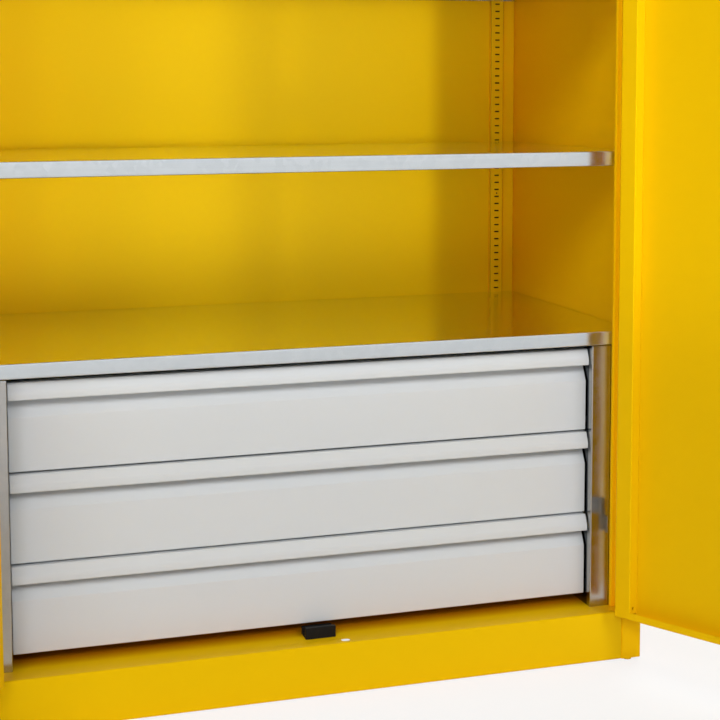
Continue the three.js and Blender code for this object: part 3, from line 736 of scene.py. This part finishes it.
def floor_material():
    material, tree, shader, place = new_material("pale_floor", Roughness=0.9, Specular_IOR_Level=0.1)
    speckle = noise(tree, place, FLOOR_SPECKLES, CLOUD_DETAIL)
    tree.links.new(mixed(tree, speckle, *FLOOR_PALES), shader.inputs["Base Color"])
    glow = add_node(tree, "ShaderNodeEmission", Strength=1.0)
    distance = add_node(tree, "ShaderNodeVectorMath", {"operation": "LENGTH"})
    tree.links.new(place, distance.inputs[0])
    away = spread(tree, distance.outputs["Value"], (FLOOR_GLOW, 1), (FADE_START, FADE_END))
    seen = tree.nodes.new("ShaderNodeLightPath").outputs["Is Camera Ray"]
    blend = add_node(tree, "ShaderNodeMixShader")
    tree.links.new(math_node(tree, "MULTIPLY", away, seen), blend.inputs[0])
    tree.links.new(shader.outputs[0], blend.inputs[1])
    tree.links.new(glow.outputs[0], blend.inputs[2])
    tree.links.new(blend.outputs[0], tree.nodes["Material Output"].inputs["Surface"])
    return material


sheet = bmesh.new()
bmesh.ops.create_grid(sheet, x_segments=FLOOR_CELLS, y_segments=FLOOR_CELLS, size=FLOOR_HALF)
floor_mesh = bpy.data.meshes.new("floor")
sheet.to_mesh(floor_mesh)
sheet.free()
floor = bpy.data.objects.new("floor", floor_mesh)
bpy.context.scene.collection.objects.link(floor)
floor.data.materials.append(floor_material())
print("floor", 2 * FLOOR_HALF, "m wide")

# %% [markdown]
# Around a photographed object there is a room. Here it is a white world that hardly lights the cupboard,
# but that bright metal can mirror and that the camera sees as the white background.

# %% World
ROOM_LIGHT = 0.04
world = bpy.data.worlds.new("white_room")
world.use_nodes = True
bpy.context.scene.world = world
tree = world.node_tree
path = tree.nodes.new("ShaderNodeLightPath").outputs
seen = math_node(tree, "MAXIMUM", path["Is Camera Ray"], path["Is Transmission Ray"])
seen = math_node(tree, "MAXIMUM", seen, path["Is Glossy Ray"])
strength = spread(tree, seen, (ROOM_LIGHT, 1), (0, 1))
tree.nodes["Background"].inputs["Color"].default_value = (*WHITE, 1)
tree.links.new(strength, tree.nodes["Background"].inputs["Strength"])
print("room light", ROOM_LIGHT)

# %% [markdown]
# Each lamp is placed by the direction that its light comes from: a turn to the right, seen from above and
# counted from straight in front, and a rise over the floor. The real lamps stand outside the photograph,
# so the camera doesn't see these, and they don't mirror in the metal.

# %% Place a lamp
def direction(turn, rise):
    turn, rise = math.radians(turn), math.radians(rise)
    return Vector((math.sin(turn) * math.cos(rise), -math.cos(turn) * math.cos(rise), math.sin(rise)))


def add_lamp(name, kind, power, place, towards):
    data = bpy.data.lights.new(name, kind)
    data.energy = power
    lamp = bpy.data.objects.new(name, data)
    lamp.location = place
    lamp.rotation_euler = (-towards).to_track_quat("-Z", "Y").to_euler()
    lamp.visible_camera = False
    lamp.visible_glossy = False
    bpy.context.scene.collection.objects.link(lamp)
    return data


print("from the right front, level:", [round(part, 2) for part in direction(45, 0)])

# %% [markdown]
# The photograph's light looks like that of soft panels with grids: it falls straight in and spreads
# little, so the rear wall is bright while the side wall gets darker towards the rear. Area lamps with a
# small spread do the same. Sun lamps would light the shelves' compartments as well, but with hard edges.
# The narrow panels light only what stands higher than the drawers.

# %% Panels with grids
PANEL_DISTANCE = 4.0
PANEL_OFFSET = 0.2
PANEL_WIDTH = 1.6
TALL_PANEL = {"height": 1.5, "middle": 1.3, "spread": math.radians(25)}
NARROW_PANEL = {"height": 1.4, "middle": 1.34, "spread": math.radians(6)}
PANELS = {
    "left_panel": {"kind": TALL_PANEL, "turn": -30, "power": 1.25},
    "middle_panel": {"kind": TALL_PANEL, "turn": 11, "power": 0.4},
    "narrow_left_panel": {"kind": NARROW_PANEL, "turn": -12, "power": 0.5},
    "narrow_middle_panel": {"kind": NARROW_PANEL, "turn": 11, "power": 1.85},
    "narrow_right_panel": {"kind": NARROW_PANEL, "turn": 38, "power": 1.7},
}


def gridded_panel(name, kind, turn, power):
    towards = direction(turn, 0)
    place = towards * PANEL_DISTANCE + Vector((0, PANEL_OFFSET, kind["middle"]))
    data = add_lamp(name, "AREA", power, place, towards)
    data.shape = "RECTANGLE"
    data.size, data.size_y = PANEL_WIDTH, kind["height"]
    data.spread = kind["spread"]


for name, panel in PANELS.items():
    gridded_panel(name, **panel)
print(len(PANELS), "panels")

# %% [markdown]
# Light from higher up brightens the slants of the drawers and the bottom pan, and draws the short shadows
# under the grips. It comes from two wide sun lamps in front. Two more behind the cupboard keep its rear
# and sides from going dark in other views.

# %% Far lights
FAR_LIGHTS = {
    "high_left_light": {"turn": -30, "rise": 32, "power": 1.25, "softness": 24},
    "high_middle_light": {"turn": 20, "rise": 35, "power": 0.92, "softness": 20},
    "rear_right_light": {"turn": 140, "rise": 35, "power": 1.6, "softness": 40},
    "rear_left_light": {"turn": -140, "rise": 35, "power": 1.2, "softness": 40},
}


def far_light(name, turn, rise, power, softness):
    data = add_lamp(name, "SUN", power, (0, 0, 0), direction(turn, rise))
    data.angle = math.radians(softness)


for name, light in FAR_LIGHTS.items():
    far_light(name, **light)
print(len(FAR_LIGHTS), "far lights")

# %% [markdown]
# The camera was solved from the lines of the photograph: the posts, the shelves and the drawers run to
# vanishing points, and those give its direction, its focal length and its place. The real lens was
# shifted far down, so that upright lines stay upright. Here it is shifted less and the camera looks down
# a little instead, so that views from other sides keep the cupboard in the frame.

# %% Camera
CAMERA_PLACE = (-0.6715, -2.3305, 1.0290)
CAMERA_TURN = math.radians(-15.93)
CAMERA_PITCH = math.radians(90 - 4.91)
CAMERA_ROLL = math.radians(-0.30)
PHOTO_PIXELS = 720
FOCAL_PIXELS = 1442.2
FILM_WIDTH = 36
SHIFT_RIGHT, SHIFT_UP = 0.0631, -0.20
NEAREST, FARTHEST = 0.05, 60
camera_data = bpy.data.cameras.new("photo_camera")
camera_data.sensor_width = FILM_WIDTH
camera_data.lens = FOCAL_PIXELS / PHOTO_PIXELS * FILM_WIDTH
camera_data.shift_x = SHIFT_RIGHT
camera_data.shift_y = SHIFT_UP
camera_data.clip_start = NEAREST
camera_data.clip_end = FARTHEST
camera = bpy.data.objects.new("photo_camera", camera_data)
turn = Matrix.Rotation(CAMERA_TURN, 4, "Z") @ Matrix.Rotation(CAMERA_PITCH, 4, "X")
camera.matrix_world = Matrix.Translation(CAMERA_PLACE) @ turn @ Matrix.Rotation(CAMERA_ROLL, 4, "Z")
bpy.context.scene.collection.objects.link(camera)
bpy.context.scene.camera = camera
bpy.context.scene.view_settings.view_transform = "Standard"
print("camera at", CAMERA_PLACE)
